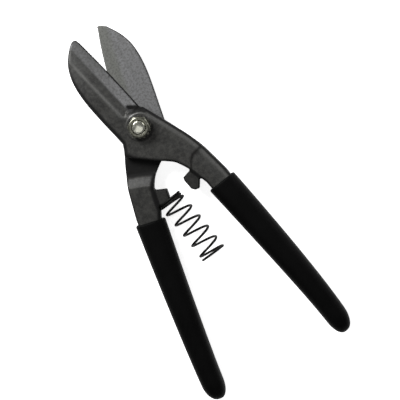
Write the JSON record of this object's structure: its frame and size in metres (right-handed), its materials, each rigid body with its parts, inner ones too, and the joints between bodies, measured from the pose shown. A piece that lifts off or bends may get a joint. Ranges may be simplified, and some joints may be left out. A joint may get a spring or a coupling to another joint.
{
  "type": "tin snips",
  "caption": "Plain forged tin snips: crossed levers on a pivot bolt, dipped grips and a coil opening spring; the blades shear sheet metal as the handles close.",
  "frame": {"origin": "on the pivot's axis, on the underside of the bolt's head", "axes": "+Z along the pivot, from the bolt's head to its nut; +Y from the pivot to the blade tips, halfway between the handles; +X to the right"},
  "size_m": [0.105, 0.2457, 0.0239],
  "materials": {
    "forged_steel": "dark satin forging, ground shear faces",
    "nickel_plate": "bright nickel plate",
    "dipped_vinyl": "matte black dipped vinyl",
    "spring_wire": "black oiled spring wire"
  },
  "bodies": {
    "rear_half": {"rear_lever": "forged_steel", "left_grip": "dipped_vinyl", "pivot_bolt": "nickel_plate", "pivot_nut": "nickel_plate", "tooth_lock_washer": "nickel_plate"},
    "front_half": {"front_lever": "forged_steel", "right_grip": "dipped_vinyl"},
    "spring": {"opening_spring": "spring_wire"}
  },
  "joints": [
    {"name": "pivot", "type": "hinge", "parent": "rear_half", "child": "front_half", "pos_m": [0, 0, 0.0093], "axis": [0, 0, 1], "range_deg": [-16, 12], "deforming": ["opening_spring"]},
    {"name": "spring_sway", "type": "hinge", "parent": "rear_half", "child": "spring", "pos_m": [-0.0077, -0.0496, 0.0093], "axis": [0, 0, 1], "range_deg": [-18, 14]}
  ],
  "couplings": [
    {"joint": "spring_sway", "follows": "pivot", "ratio": 0.95}
  ]
}
